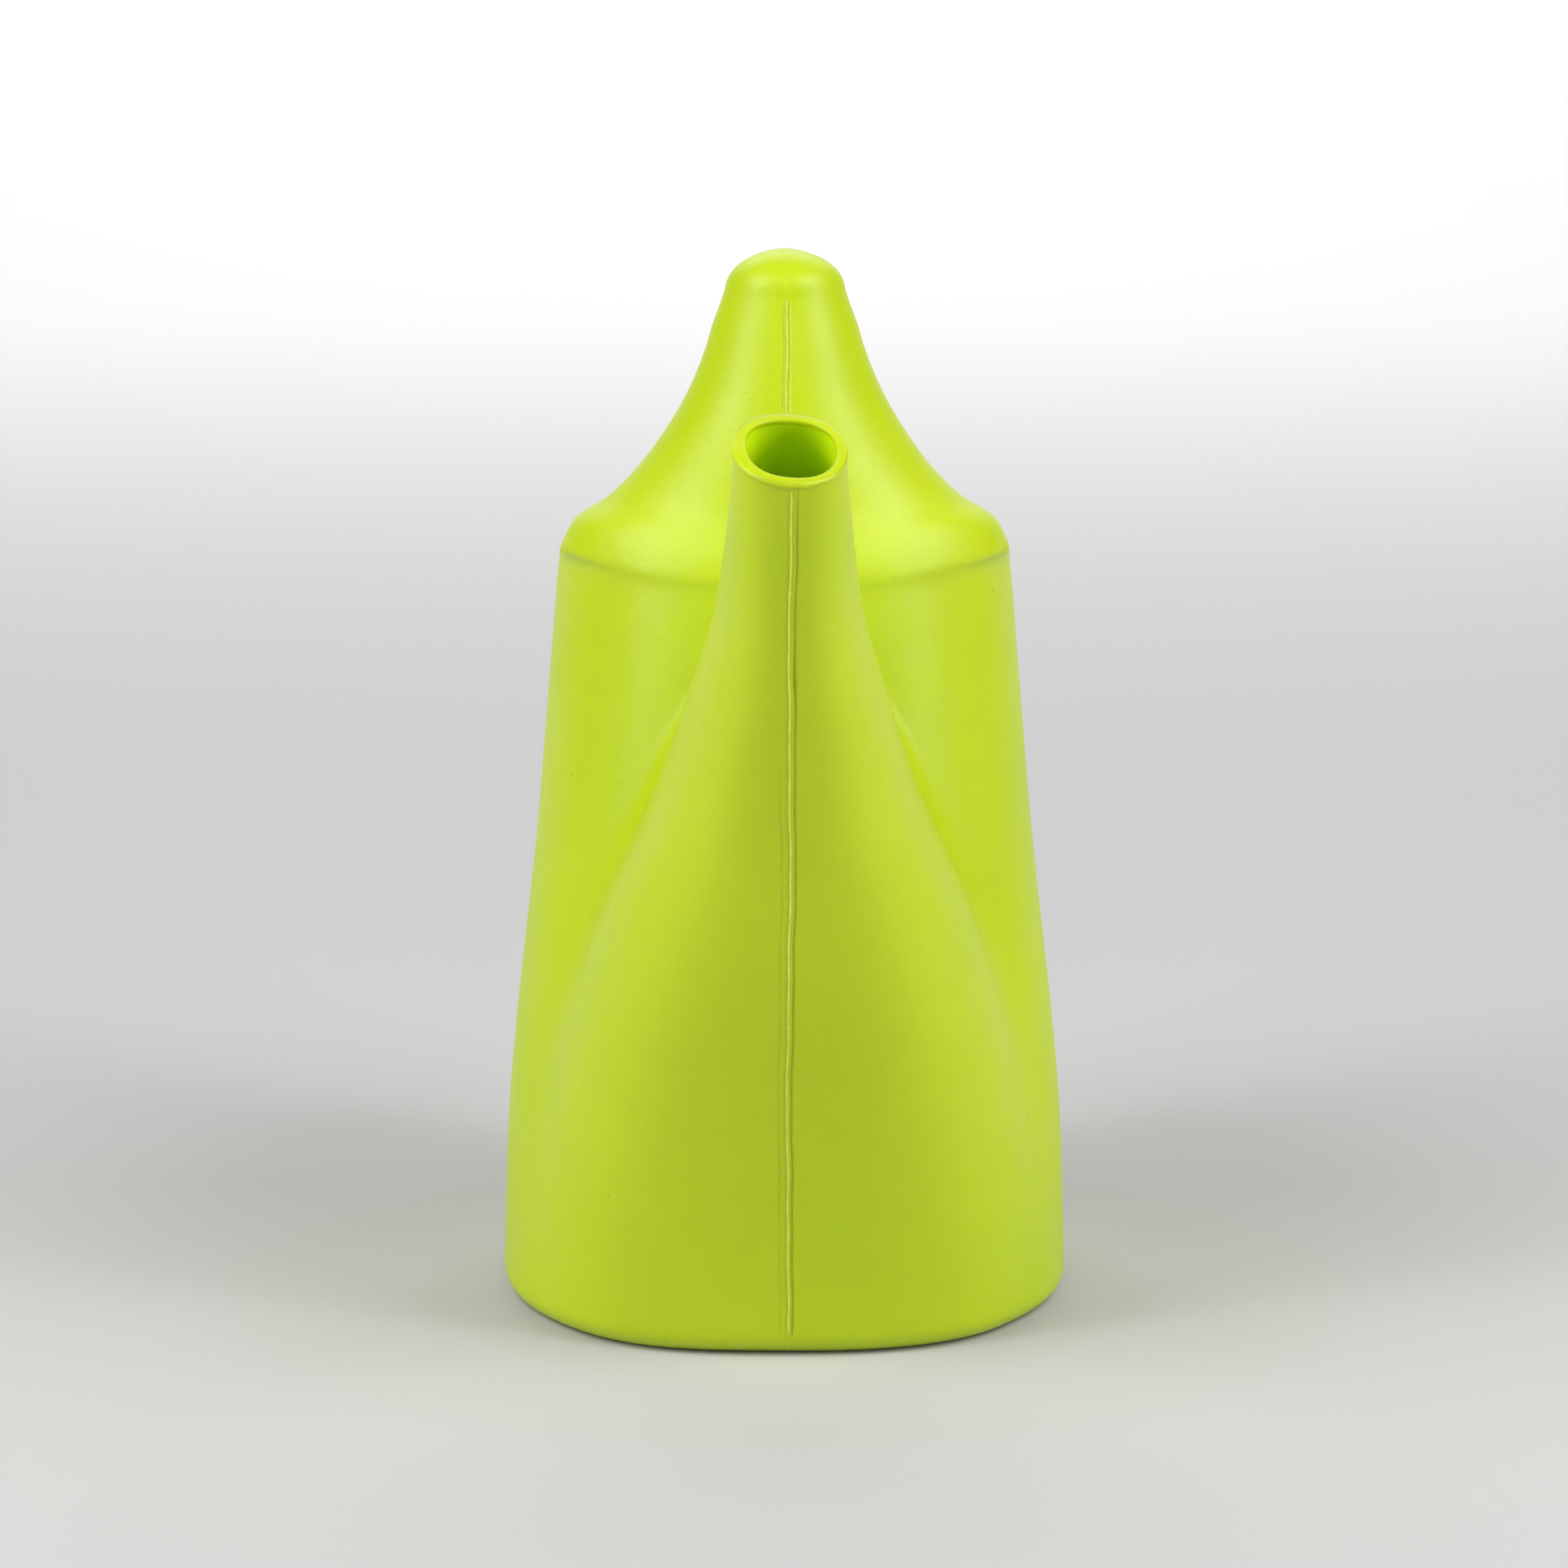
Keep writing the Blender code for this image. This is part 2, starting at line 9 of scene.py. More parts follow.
import bmesh
import bpy
import numpy as np
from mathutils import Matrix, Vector


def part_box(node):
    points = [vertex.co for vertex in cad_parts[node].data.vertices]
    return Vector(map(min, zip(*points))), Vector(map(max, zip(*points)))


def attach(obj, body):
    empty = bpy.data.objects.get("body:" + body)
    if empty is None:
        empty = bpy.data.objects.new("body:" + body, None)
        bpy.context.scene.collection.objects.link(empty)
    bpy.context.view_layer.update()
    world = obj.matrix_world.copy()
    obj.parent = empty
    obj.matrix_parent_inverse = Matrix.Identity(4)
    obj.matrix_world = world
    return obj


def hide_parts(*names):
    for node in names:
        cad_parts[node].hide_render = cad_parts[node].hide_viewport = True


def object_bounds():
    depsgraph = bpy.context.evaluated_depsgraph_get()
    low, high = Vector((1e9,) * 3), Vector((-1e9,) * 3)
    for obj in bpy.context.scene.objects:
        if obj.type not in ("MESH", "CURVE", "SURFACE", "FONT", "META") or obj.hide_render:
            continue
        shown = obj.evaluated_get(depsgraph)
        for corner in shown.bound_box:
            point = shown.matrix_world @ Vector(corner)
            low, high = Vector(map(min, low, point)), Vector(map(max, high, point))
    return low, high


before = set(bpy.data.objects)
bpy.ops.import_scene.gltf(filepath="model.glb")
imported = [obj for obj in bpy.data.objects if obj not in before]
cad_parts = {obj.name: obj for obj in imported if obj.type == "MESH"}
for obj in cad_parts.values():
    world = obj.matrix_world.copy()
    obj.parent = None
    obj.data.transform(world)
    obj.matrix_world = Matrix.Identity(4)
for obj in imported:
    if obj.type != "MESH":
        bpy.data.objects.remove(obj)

cad_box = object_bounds()


def node_box(*nodes):
    """Lowest and highest corners of several CAD nodes together."""
    boxes = [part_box(node) for node in nodes]
    low = [min(box[0][axis] for box in boxes) for axis in range(3)]
    high = [max(box[1][axis] for box in boxes) for axis in range(3)]
    return low, high


# ---------------------------------------------------------------- sizes from the frame

_, shoulder_high = node_box("shoulder_left", "shoulder_right")
_, hood_high = node_box("hood_left", "hood_right")
collar_low, collar_high = node_box("filler_collar")
_, grip_high = node_box("handle_grip_left", "handle_grip_right")

WALL = 0.0022
TANK_HEIGHT = shoulder_high[2]
BASE_HALF_WIDTH = 0.0654
WAIST_HALF_WIDTH = 0.0565
SHOULDER_HALF_WIDTH = 0.0507
BASE_FRONT = 0.0600
TOP_FRONT = 0.0540
BASE_BACK = 0.0640
TOP_BACK = 0.0560
TANK_Y = 0.0210
SHOULDER_RADIUS = 0.0110
HEEL_RADIUS = 0.0050
FOOTPRINT_POWER = 2.65
TANK_POWER_FALL = 0.25
SPOUT_POWER_FALL = 0.35
HOOD_POWER = 2.1
COLLAR_POWER = 2.2
FOOT_RING_WIDTH = 0.0085
FOOT_RECESS = 0.0020

MOUTH_TILT = math.radians(27)
MOUTH_ROLL = math.radians(5)
MOUTH_HALF_WIDTH = 0.0116
MOUTH_HALF_DEPTH = 0.0135
MOUTH_SLANT = 0.0022
MOUTH_REACH = 0.1380
MOUTH_HEIGHT = TANK_HEIGHT + 0.0327
SPOUT_FOOT = 0.0700
FORK_HEIGHT = 0.1540
SPOUT_HOLLOW = 0.0024
SPOUT_ROOT_BACK = 0.0300
SPOUT_PARTING = 0.0100
SPOUT_PARTING_DROP = 0.040
# Waste plastic blown above an opening, which the trimming cuts off again.
MOIL = 0.0080
TRIM_RISE = MOIL + 0.003
MOUTH_TRIM_MARGIN = 0.0060
FILLER_TRIM_MARGIN = 0.0025
RIM_DROP = 0.0014
RIM_SQUARENESS = 0.55
RIM_FALL = 0.00012

HOOD_HEIGHT = hood_high[2] - TANK_HEIGHT
HOOD_SKIRT = 0.0465
HOOD_NECK = 0.0132
HOOD_FORWARD = 0.0220
HOOD_SKIRT_DEPTH = 0.0270
HOOD_NECK_DEPTH = 0.0130
HOOD_DOME = 0.0085

FILLER_HALF_WIDTH = (collar_high[0] - collar_low[0]) / 2
FILLER_HALF_DEPTH = (collar_high[1] - collar_low[1]) / 2
FILLER_Y = (collar_high[1] + collar_low[1]) / 2
COLLAR_TOP = collar_high[2]

HANDLE_HALF_WIDTH = 0.0130
HANDLE_HALF_DEPTH = 0.0100
HANDLE_OUTER = grip_high[1] - TANK_Y
HANDLE_MIDDLE = 0.1480
HANDLE_FOOT = 0.0920
HANDLE_ENTRY = TOP_BACK - 0.0060

SHOULDER_BLEND = 1.8 * SHOULDER_RADIUS
MOIL_EDGE = 0.004
SPOUT_FILLET = 0.0040
HOOD_SINK = 0.004
HOOD_FILLET = 0.0125
HANDLE_TOP_FILLET = 0.0016
HANDLE_FILLET_GAIN = 0.0070
COLLAR_EDGE = 0.003
COLLAR_SINK = 0.010
COLLAR_FILLET = 0.0045
RECESS_EDGE = 0.0012
RECESS_FILLET = 0.0015

SURFACE_WAVE = 0.00010
SURFACE_RIPPLE = 0.00006
GROOVE_WIDTH = 0.0003
WELD_WIDTH = 0.0008
WELD_HEIGHT = 0.00012
FAINT_SEAM = 0.00007
BEAD_PITCH = 0.00035
BEAD_WIDTH = 0.00021
BEAD_HEIGHT = 0.00034
BEAD_JITTER = 0.000022
BEAD_START = 0.0050

OUTER_PITCH = 0.0013
SEAM_PITCH = 0.00017
SEAM_BAND = 0.0028
INNER_PITCH = 0.0016


# ---------------------------------------------------------------- curves along the height

class Curve:
    """A smooth curve through a few points, without overshoot, read at any heights."""

    def __init__(self, *points):
        xs = np.array([point[0] for point in points])
        ys = np.array([point[1] for point in points])
        slopes = np.diff(ys) / np.diff(xs)
        bends = np.zeros(len(xs))
        bends[0], bends[-1] = slopes[0], slopes[-1]
        for i in range(1, len(xs) - 1):
            before, after = slopes[i - 1], slopes[i]
            if before * after > 0:
                bends[i] = 2 * before * after / (before + after)
        self.at = np.linspace(xs[0], xs[-1], 600)
        i = np.clip(np.searchsorted(xs, self.at, side="right") - 1, 0, len(xs) - 2)
        span = xs[i + 1] - xs[i]
        t = (self.at - xs[i]) / span
        start = (1 + 2 * t) * (1 - t) ** 2 * ys[i] + t * (1 - t) ** 2 * span * bends[i]
        end = t * t * (3 - 2 * t) * ys[i + 1] + t * t * (t - 1) * span * bends[i + 1]
        self.value = start + end

    def __call__(self, at):
        return np.interp(at, self.at, self.value)


lip_front = MOUTH_REACH + MOUTH_HALF_DEPTH
lip_back = MOUTH_REACH - MOUTH_HALF_DEPTH - MOUTH_SLANT

tank_width = Curve((0.0, BASE_HALF_WIDTH), (0.2, BASE_HALF_WIDTH - 0.0012),
                   (0.62, WAIST_HALF_WIDTH), (1.0, SHOULDER_HALF_WIDTH))
spout_front = Curve((-0.1, SPOUT_FOOT - 0.004), (0.0, SPOUT_FOOT),
                    (0.5, (SPOUT_FOOT + lip_front) / 2 - SPOUT_HOLLOW),
                    (1.0, lip_front), (1.2, lip_front + 0.016))
spout_back = Curve((0.0, -SPOUT_ROOT_BACK), (FORK_HEIGHT - SPOUT_PARTING_DROP, SPOUT_PARTING),
                   (FORK_HEIGHT, TOP_FRONT),
                   (MOUTH_HEIGHT, lip_back), (MOUTH_HEIGHT * 1.2, lip_back + 0.030))
spout_width = Curve((0.0, BASE_HALF_WIDTH - 0.0035), (0.12, BASE_HALF_WIDTH - 0.0050),
                    (0.30, BASE_HALF_WIDTH - 0.0130), (0.46, BASE_HALF_WIDTH - 0.0240),
                    (0.60, MOUTH_HALF_WIDTH + 0.0175), (0.72, MOUTH_HALF_WIDTH + 0.0096),
                    (0.82, MOUTH_HALF_WIDTH + 0.0040), (0.92, MOUTH_HALF_WIDTH + 0.0014),
                    (1.0, MOUTH_HALF_WIDTH), (1.2, MOUTH_HALF_WIDTH - 0.0006))
spout_middle = Curve((0.0, 0.0), (0.0312, 0.0030), (0.5 * FORK_HEIGHT, 0.0300),
                     (FORK_HEIGHT, 0.0850), (MOUTH_HEIGHT, MOUTH_REACH),
                     (MOUTH_HEIGHT * 1.2, MOUTH_REACH + 0.022))
hood_flare = HOOD_SKIRT - HOOD_NECK
hood_width = Curve((-0.15, HOOD_SKIRT + 0.0030), (0.0, HOOD_SKIRT),
                   (0.12, HOOD_NECK + 0.78 * hood_flare), (0.32, HOOD_NECK + 0.50 * hood_flare),
                   (0.60, HOOD_NECK + 0.235 * hood_flare), (1.0, HOOD_NECK))
hood_front = Curve((-0.15, HOOD_SKIRT_DEPTH + 0.001), (0.0, HOOD_SKIRT_DEPTH), (1.0, HOOD_NECK_DEPTH))
hood_back = Curve((-0.15, HOOD_SKIRT_DEPTH - 0.002), (0.0, HOOD_SKIRT_DEPTH - 0.006),
                  (0.4, HOOD_NECK_DEPTH + 0.002), (1.0, HOOD_NECK_DEPTH))


def oval_arc(centre, reach, rise, power=2.2, count=48):
    """Points of a squarish quarter oval, from straight above its centre to straight behind it."""
    angle = np.linspace(0.0, math.pi / 2, count + 1)
    y = centre[0] + reach * np.sin(angle) ** (2 / power)
    z = centre[1] + rise * np.clip(np.cos(angle), 0, 1) ** (2 / power)
    return np.stack([y, z], 1)


handle_top = hood_high[2] - HANDLE_HALF_DEPTH - 0.0008
handle_reach = HANDLE_OUTER - HANDLE_HALF_DEPTH
upper_arc = oval_arc((-HOOD_FORWARD, HANDLE_MIDDLE), handle_reach + HOOD_FORWARD, handle_top - HANDLE_MIDDLE)
lower_arc = oval_arc((HANDLE_ENTRY, HANDLE_MIDDLE), handle_reach - HANDLE_ENTRY, HANDLE_FOOT - HANDLE_MIDDLE)
handle_line = np.concatenate([upper_arc, lower_arc[::-1][1:]])


# ---------------------------------------------------------------- the field

def oval(x, y, width, front, back, power):
    """How far outside a level superellipse a point is, as a share of the oval's size."""
    depth = np.where(y > 0, back, front)
    return (np.abs(x / width) ** power + np.abs(y / depth) ** power) ** (1 / power) - 1


def tank_gauge(x, y, z):
    share = np.clip(z / TANK_HEIGHT, 0, 1)
    front = BASE_FRONT + (TOP_FRONT - BASE_FRONT) * share
    back = BASE_BACK + (TOP_BACK - BASE_BACK) * share
    return oval(x, y, tank_width(share), front, back, FOOTPRINT_POWER - TANK_POWER_FALL * share)


def spout_gauge(x, y, z):
    share = z / MOUTH_HEIGHT
    middle = spout_middle(z)
    power = FOOTPRINT_POWER - SPOUT_POWER_FALL * np.clip(share, 0, 1)
    front = spout_front(share) - middle
    back = middle - spout_back(z)
    return oval(x, y + middle, spout_width(share), front, back, power)


def hood_gauge(x, y, z):
    share = (z - TANK_HEIGHT) / (HOOD_HEIGHT - HOOD_DOME)
    level = oval(x, y + HOOD_FORWARD, hood_width(share), hood_front(share), hood_back(share), HOOD_POWER) + 1
    over = np.clip((z - (TANK_HEIGHT + HOOD_HEIGHT - HOOD_DOME)) / HOOD_DOME, 0, None)
    return np.sqrt(level ** 2 + over ** 2) - 1


def collar_gauge(x, y, z):
    behind = y - (FILLER_Y - TANK_Y)
    return oval(x, behind, FILLER_HALF_WIDTH, FILLER_HALF_DEPTH, FILLER_HALF_DEPTH, COLLAR_POWER) + 0 * z


def footprint_gauge(x, y, z):
    inset = HEEL_RADIUS + FOOT_RING_WIDTH
    return oval(x, y, BASE_HALF_WIDTH - inset, SPOUT_FOOT - inset, BASE_BACK - inset, FOOTPRINT_POWER) + 0 * z


class SideTable:
    """Distance from the handle's middle line in the parting plane, read between its grid points."""

    def __init__(self, pitch=0.0005, margin=0.030):
        self.low = handle_line.min(0) - margin
        self.pitch = pitch
        self.counts = ((handle_line.max(0) + margin - self.low) / pitch).astype(int)
        y = self.low[0] + pitch * np.arange(self.counts[0] + 1)[:, None]
        z = self.low[1] + pitch * np.arange(self.counts[1] + 1)[None, :]
        self.values = np.full(np.broadcast(y, z).shape, np.inf)
        for start, end in zip(handle_line[:-1], handle_line[1:]):
            run = end - start
            t = np.clip(((y - start[0]) * run[0] + (z - start[1]) * run[1]) / (run @ run), 0, 1)
            away = np.hypot(y - start[0] - t * run[0], z - start[1] - t * run[1])
            self.values = np.minimum(self.values, away)

    def __call__(self, y, z):
        v = np.clip((y - self.low[0]) / self.pitch, 0, self.counts[0] - 0.001)
        w = np.clip((z - self.low[1]) / self.pitch, 0, self.counts[1] - 0.001)
        v, w = np.broadcast_arrays(v, w)
        i, j = v.astype(int), w.astype(int)
        v, w = v - i, w - j
        lower = self.values[i, j] * (1 - v) + self.values[i + 1, j] * v
        upper = self.values[i, j + 1] * (1 - v) + self.values[i + 1, j + 1] * v
        return lower * (1 - w) + upper * w


handle_distance = SideTable()


def handle_gauge(x, y, z):
    """How far outside the handle's oval tube a point is, as a share of the tube's size."""
    return np.sqrt((x / HANDLE_HALF_WIDTH) ** 2 + (handle_distance(y, z) / HANDLE_HALF_DEPTH) ** 2) - 1


def distance(gauge, x, y, z, step=0.0003):
    """The gauge turned into metres with its own slope."""
    here = gauge(x, y, z)
    slope = (gauge(x + step, y, z) - here) ** 2
    slope = slope + (gauge(x, y + step, z) - here) ** 2
    slope = slope + (gauge(x, y, z + step) - here) ** 2
    return here * step / np.sqrt(slope + 1e-12)


def smooth_min(a, b, radius):
    """Union of two fields with a fillet."""
    blend = np.clip(0.5 + 0.5 * (b - a) / radius, 0, 1)
    return b + (a - b) * blend - radius * blend * (1 - blend)


def soft_min(a, b, radius):
    """Union with a fillet whose curvature fades in and out."""
    near_share = np.clip(1 - np.abs(a - b) / radius, 0, 1)
    return np.minimum(a, b) - radius * near_share ** 3 / 6


def round_max(a, b, radius):
    """Intersection of two fields with a rounded edge."""
    inside = np.minimum(np.maximum(a + radius, b + radius), 0)
    return inside + np.hypot(np.maximum(a + radius, 0), np.maximum(b + radius, 0)) - radius


mouth_normal = Vector((math.tan(MOUTH_ROLL), -math.sin(MOUTH_TILT), math.cos(MOUTH_TILT))).normalized()
mouth_centre = Vector((0.0, TANK_Y - MOUTH_REACH, MOUTH_HEIGHT))


def above_mouth(x, y, z):
    """Height over the plane that the spout was cut off at."""
    dx = x - mouth_centre.x
    dy = y + TANK_Y - mouth_centre.y
    dz = z - mouth_centre.z
    return dx * mouth_normal.x + dy * mouth_normal.y + dz * mouth_normal.z


def smooth_step(low, high, at):
    t = np.clip((at - low) / (high - low), 0, 1)
    return t * t * (3 - 2 * t)


def weld_wander(z):
    """How far the pinch-off line strays from the parting plane at height z."""
    return 0.00022 * np.sin(z * 61 + 0.7) + 0.00010 * np.sin(z * 173) + 0.00006 * np.sin(z * 397 + 2)


def bump(x, middle, width):
    return np.exp(-((x - middle) / width) ** 2)


def weld_height(x, y, z):
    """Height of the pinch-off bead over the skin, with the grooves beside it."""
    off = x - weld_wander(z)
    uneven = 1 + 0.18 * np.sin(z * 530) + 0.14 * np.sin(z * 1210 + 1) + 0.10 * np.sin(z * 211 + 2)
    bead = WELD_HEIGHT * bump(off, -0.0003, WELD_WIDTH) * uneven
    right = 0.00030 * bump(off, 0.00075 + 0.0022 * z, 0.00028)
    left = 0.00020 * bump(off, -0.00175, 0.00030) * (1 - 0.85 * smooth_step(0.130, 0.150, z))
    knot = 0.00035 * bump(z, 0.163, 0.0045) * bump(off, 0.0011, 0.0007)
    on_spout = smooth_step(-0.010, -0.020, y + spout_middle(z)) * smooth_step(0.0035, 0.0065, z)
    spout_part = on_spout * (bead - right - left - knot)
    hood_low_end = TANK_HEIGHT + 0.004
    hood_high_end = TANK_HEIGHT + HOOD_HEIGHT - HOOD_DOME - 0.0015
    in_front = smooth_step(-0.004, -0.010, y + HOOD_FORWARD)
    on_hood = in_front * smooth_step(hood_low_end - 0.003, hood_low_end, z)
    on_hood = on_hood * (1 - smooth_step(hood_high_end - 0.0005, hood_high_end + 0.0012, z + 0.6 * off))
    hood_groove = 0.00014 + 0.00014 * smooth_step(hood_low_end + 0.022, hood_low_end + 0.012, z)
    hood_part = on_hood * (WELD_HEIGHT * bump(off, 0.0004, WELD_WIDTH) * (0.8 + 0.2 * uneven)
                           - 0.00020 * bump(off, 0.0013, GROOVE_WIDTH)
                           - hood_groove * bump(off, -0.0008, GROOVE_WIDTH))
    faint = FAINT_SEAM * bump(x, 0, GROOVE_WIDTH)
    return np.where(on_spout > 0, spout_part, np.where(on_hood > 0, hood_part + faint * (1 - on_hood), faint))


def unevenness(x, y, z):
    """Slow waves of a wall that was blown against a cold mould."""
    waves = np.sin(x * 71 + 1.3) * np.sin(y * 63 + 0.4) * np.sin(z * 49 + 2.1)
    return SURFACE_WAVE * waves + SURFACE_RIPPLE * np.sin(x * 143 + z * 97) * np.sin(y * 131 + 0.8)


def skin(x, y, z):
    """Signed distance to the outside of the moulding, before its openings are cut."""
    tank = distance(tank_gauge, x, y, z)
    tank = -soft_min(-tank, TANK_HEIGHT - z, SHOULDER_BLEND)
    spout = distance(spout_gauge, x, y, z)
    spout = round_max(spout, above_mouth(x, y, z) - MOIL, MOIL_EDGE)
    body = smooth_min(tank, spout, SPOUT_FILLET)
    body = round_max(body, -z, HEEL_RADIUS)
    hood = distance(hood_gauge, x, y, z)
    hood = np.maximum(hood, TANK_HEIGHT - HOOD_SINK - z)
    body = soft_min(body, hood, HOOD_FILLET)
    handle = distance(handle_gauge, x, y, z)
    lower_share = smooth_step(handle_top + 0.001, handle_top - 0.009, z)
    fillet = HANDLE_TOP_FILLET + HANDLE_FILLET_GAIN * lower_share
    body = smooth_min(body, handle, fillet)
    collar = distance(collar_gauge, x, y, z)
    collar = round_max(collar, z - COLLAR_TOP - MOIL, COLLAR_EDGE)
    collar = np.maximum(collar, TANK_HEIGHT - COLLAR_SINK - z)
    body = smooth_min(body, collar, COLLAR_FILLET)
    recess = round_max(distance(footprint_gauge, x, y, z), z - FOOT_RECESS, RECESS_EDGE)
    return -smooth_min(-body, recess, RECESS_FILLET)


def outer_field(x, y, z):
    return skin(x, y, z) - weld_height(x, y, z) + unevenness(x, y, z)


def inner_field(x, y, z):
    return skin(x, y, z) + WALL + 0.5 * unevenness(y, x, z)


# ---------------------------------------------------------------- field to mesh

def grid_lines(low, high, pitch):
    return np.linspace(low, high, int(math.ceil((high - low) / pitch)) + 1)


def cross_lines(reach, pitch, fine):
    """Lines across the can, close together over the weld and symmetric about it."""
    inner = np.arange(fine / 2, SEAM_BAND, fine)
    lines = list(inner)
    step = fine
    while lines[-1] < reach:
        step = min(step * 1.35, pitch)
        lines.append(lines[-1] + step)
    lines = np.array(lines)
    return np.concatenate([-lines[::-1], lines])


def surface_net(field, xs, ys, zs):
    """Points and four-sided faces of the field's zero surface, one point for each cell it crosses."""
    values = np.concatenate([
        field(xs[i:i + 24][:, None, None], ys[None, :, None], zs[None, None, :]).astype(np.float32)
        for i in range(0, len(xs), 24)])
    inside = values < 0
    count = np.zeros(tuple(n - 1 for n in inside.shape), np.uint8)
    corners = [(i, j, k) for i in (0, 1) for j in (0, 1) for k in (0, 1)]
    for corner in corners:
        count += inside[tuple(slice(c, size - 1 + c) for c, size in zip(corner, inside.shape))]
    mixed = (count > 0) & (count < 8)
    cell = np.argwhere(mixed)
    index = np.full(mixed.shape, -1, np.int64)
    index[mixed] = np.arange(len(cell))
    total = np.zeros((len(cell), 3))
    hits = np.zeros(len(cell))
    axes = (xs, ys, zs)
    for a in corners:
        for axis in range(3):
            if a[axis]:
                continue
            b = tuple(1 if n == axis else a[n] for n in range(3))
            va = values[cell[:, 0] + a[0], cell[:, 1] + a[1], cell[:, 2] + a[2]]
            vb = values[cell[:, 0] + b[0], cell[:, 1] + b[1], cell[:, 2] + b[2]]
            crosses = (va < 0) != (vb < 0)
            t = np.where(crosses, va / np.where(crosses, va - vb, 1), 0)
            for n in range(3):
                start = axes[n][cell[:, n] + a[n]]
                end = axes[n][cell[:, n] + b[n]]
                total[:, n] += np.where(crosses, start + (end - start) * t, 0)
            hits += crosses
    points = total / hits[:, None]
    faces = []
    for axis in range(3):
        u, v = (axis + 1) % 3, (axis + 2) % 3
        low = [slice(1, -1)] * 3
        low[axis] = slice(0, -1)
        high = [slice(1, -1)] * 3
        high[axis] = slice(1, None)
        first, second = inside[tuple(low)], inside[tuple(high)]
        edges = np.argwhere(first != second)
        outward = first[tuple(edges.T)]
        edges = edges + [0 if n == axis else 1 for n in range(3)]
        ring = []
        for du, dv in ((-1, -1), (0, -1), (0, 0), (-1, 0)):
            at = edges.copy()
            at[:, u] += du
            at[:, v] += dv
            ring.append(index[tuple(at.T)])
        ring = np.stack(ring, 1)
        faces.append(np.where(outward[:, None], ring, ring[:, ::-1]))
    return points, np.concatenate(faces)


def settle(field, points, rounds=3, step=0.00015, most=0.0008):
    """Moves points along the field's slope on to its zero surface."""
    for _ in range(rounds):
        x, y, z = points.T
        here = field(x, y, z)
        slope = np.stack([
            field(x + step, y, z) - here,
            field(x, y + step, z) - here,
            field(x, y, z + step) - here], 1) / step
        size = np.maximum((slope ** 2).sum(1), 0.25)
        move = slope * (here / size)[:, None]
        points = points - np.clip(move, -most, most)
    return points


def skin_mesh(name, field, pitch, fine, low, high):
    xs = cross_lines(high[0], pitch, fine)
    ys = grid_lines(low[1] - TANK_Y, high[1] - TANK_Y, pitch)
    zs = grid_lines(low[2], high[2], pitch)
    points, faces = surface_net(field, xs, ys, zs)
    points = settle(field, points)
    points[:, 1] += TANK_Y
    mesh = bpy.data.meshes.new(name)
    mesh.from_pydata(points.tolist(), [], faces.tolist())
    mesh.validate()
    return mesh


# ---------------------------------------------------------------- trimming the openings

def plane_axes(normal):
    """Two directions in the plane across a normal, the first one sideways."""
    side = Vector((1, 0, 0))
    side = (side - normal * side.dot(normal)).normalized()
    return side, normal.cross(side)


def near(vert, centre, normal, reach):
    """Whether a point lies in the flat oval zone that one opening is cut from."""
    side, up = plane_axes(normal)
    away = vert.co - centre
    if abs(away.dot(normal)) > TRIM_RISE:
        return False
    return (away.dot(side) / reach[0]) ** 2 + (away.dot(up) / reach[1]) ** 2 < 1


def trim(bm, centre, normal, reach):
    """Cuts the skin off at a plane near one opening and returns the loop of cut edges."""
    verts = [vert for vert in bm.verts if near(vert, centre, normal, reach)]
    chosen = set(verts)
    edges = [edge for edge in bm.edges if edge.verts[0] in chosen and edge.verts[1] in chosen]
    faces = [face for face in bm.faces if all(vert in chosen for vert in face.verts)]
    bmesh.ops.bisect_plane(bm, geom=verts + edges + faces, plane_co=centre, plane_no=normal,
                           clear_outer=True, dist=1e-7)
    return [edge for edge in bm.edges
            if edge.is_boundary and all(near(v, centre, normal, reach) for v in edge.verts)]


def loop_points(edges, centre, normal):
    """Angle and radius, seen along the normal, of the points on a cut edge, in order of angle."""
    side, up = plane_axes(normal)
    verts = {vert for edge in edges for vert in edge.verts}
    polar = sorted((math.atan2((v.co - centre).dot(up), (v.co - centre).dot(side)),
                    math.hypot((v.co - centre).dot(side), (v.co - centre).dot(up))) for v in verts)
    return np.array(polar), side, up


# ---------------------------------------------------------------- build the moulding

x_reach = BASE_HALF_WIDTH + 0.004
low_corner = (-x_reach, cad_box[0][1] - 0.010, -0.004)
high_corner = (x_reach, cad_box[1][1] + 0.004, cad_box[1][2] + 0.004)
outer_mesh = skin_mesh("outside", outer_field, OUTER_PITCH, SEAM_PITCH, low_corner, high_corner)
inner_mesh = skin_mesh("inside", inner_field, INNER_PITCH, INNER_PITCH, low_corner, high_corner)

shell = bmesh.new()
shell.from_mesh(outer_mesh)
inside_part = bmesh.new()
inside_part.from_mesh(inner_mesh)
bmesh.ops.reverse_faces(inside_part, faces=inside_part.faces)

filler_centre = Vector((0.0, FILLER_Y, COLLAR_TOP))
openings = {
    "mouth": (mouth_centre, mouth_normal,
              (MOUTH_HALF_WIDTH + MOUTH_TRIM_MARGIN, MOUTH_HALF_DEPTH + MOUTH_TRIM_MARGIN)),
    "filler": (filler_centre, Vector((0, 0, 1)),
               (FILLER_HALF_WIDTH + FILLER_TRIM_MARGIN, FILLER_HALF_DEPTH + FILLER_TRIM_MARGIN)),
}
loops = {}
for label, (centre, normal, reach) in openings.items():
    for layer, bm in (("out", shell), ("in", inside_part)):
        edges = trim(bm, centre, normal, reach)
        loops[label, layer] = loop_points(edges, centre, normal)

